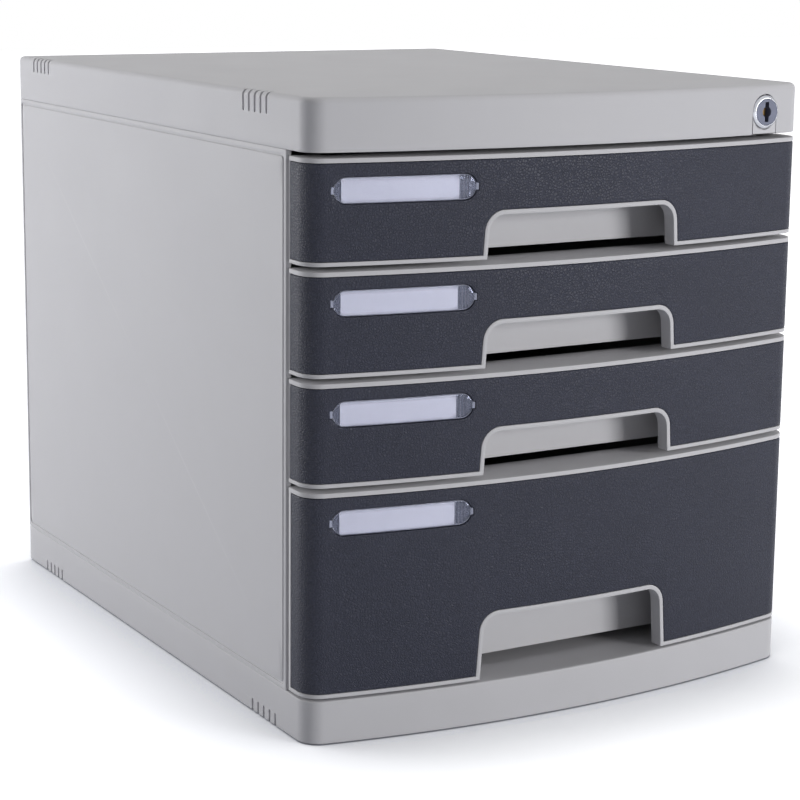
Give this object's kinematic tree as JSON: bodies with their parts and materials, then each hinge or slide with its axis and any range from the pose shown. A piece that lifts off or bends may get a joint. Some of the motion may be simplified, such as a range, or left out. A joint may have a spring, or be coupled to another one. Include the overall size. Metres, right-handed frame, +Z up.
{
  "type": "desktop file drawer cabinet",
  "caption": "Grey plastic desktop drawer cabinet with dark bowed fronts, label windows, finger notches and a keyed lock that bars every drawer.",
  "frame": {"origin": "on the floor under the middle of the case's bounding box", "axes": "+X to the right seen from the front, -Y out of the drawer fronts, +Y to the back panel, +Z up"},
  "size_m": [0.3, 0.399, 0.322],
  "materials": {
    "light_plastic": "fine moulded satin",
    "slate_plastic": "fine leather grain",
    "clear_plastic": "clear gloss",
    "label_card": "smooth card",
    "chromed_zinc": "bright chrome",
    "satin_zinc": "satin",
    "zinc_steel": "zinc plated",
    "black_rubber": "matt"
  },
  "bodies": {
    "case": {"base_tray": "light_plastic", "foot_pads": "black_rubber", "left_side_panel": "light_plastic", "right_side_panel": "light_plastic", "back_panel": "light_plastic", "case_screws": "zinc_steel", "top_cover": "light_plastic", "lock_insert": "light_plastic", "lock_housing": "chromed_zinc", "lock_clip": "zinc_steel"},
    "lock_core": {"lock_plug": "satin_zinc", "lock_cam": "zinc_steel", "cam_screw": "zinc_steel"},
    "lock_bar_body": {"lock_bar": "light_plastic"},
    "drawer_1": {"drawer_tray_1": "light_plastic", "drawer_face_1": "slate_plastic", "label_window_1": "clear_plastic", "label_card_1": "label_card"},
    "drawer_2": {"drawer_tray_2": "light_plastic", "drawer_face_2": "slate_plastic", "label_window_2": "clear_plastic", "label_card_2": "label_card"},
    "drawer_3": {"drawer_tray_3": "light_plastic", "drawer_face_3": "slate_plastic", "label_window_3": "clear_plastic", "label_card_3": "label_card"},
    "drawer_4": {"drawer_tray_4": "light_plastic", "drawer_face_4": "slate_plastic", "label_window_4": "clear_plastic", "label_card_4": "label_card"}
  },
  "joints": [
    {"name": "lock_turn", "type": "hinge", "parent": "case", "child": "lock_core", "pos_m": [0.1205, -0.19, 0.3077], "axis": [0, 1, 0], "range_deg": [0, 90]},
    {"name": "lock_bar_slide", "type": "slide", "parent": "case", "child": "lock_bar_body", "axis": [0, 0, -1], "range_m": [0, 0.00848]},
    {"name": "drawer_1_slide", "type": "slide", "parent": "case", "child": "drawer_1", "axis": [0, -1, 0], "range_m": [0, 0.25]},
    {"name": "drawer_2_slide", "type": "slide", "parent": "case", "child": "drawer_2", "axis": [0, -1, 0], "range_m": [0, 0.25]},
    {"name": "drawer_3_slide", "type": "slide", "parent": "case", "child": "drawer_3", "axis": [0, -1, 0], "range_m": [0, 0.25]},
    {"name": "drawer_4_slide", "type": "slide", "parent": "case", "child": "drawer_4", "axis": [0, -1, 0], "range_m": [0, 0.25]}
  ],
  "couplings": [
    {"joint": "lock_turn", "follows": "lock_bar_slide", "rad_per_m": 185.12}
  ]
}
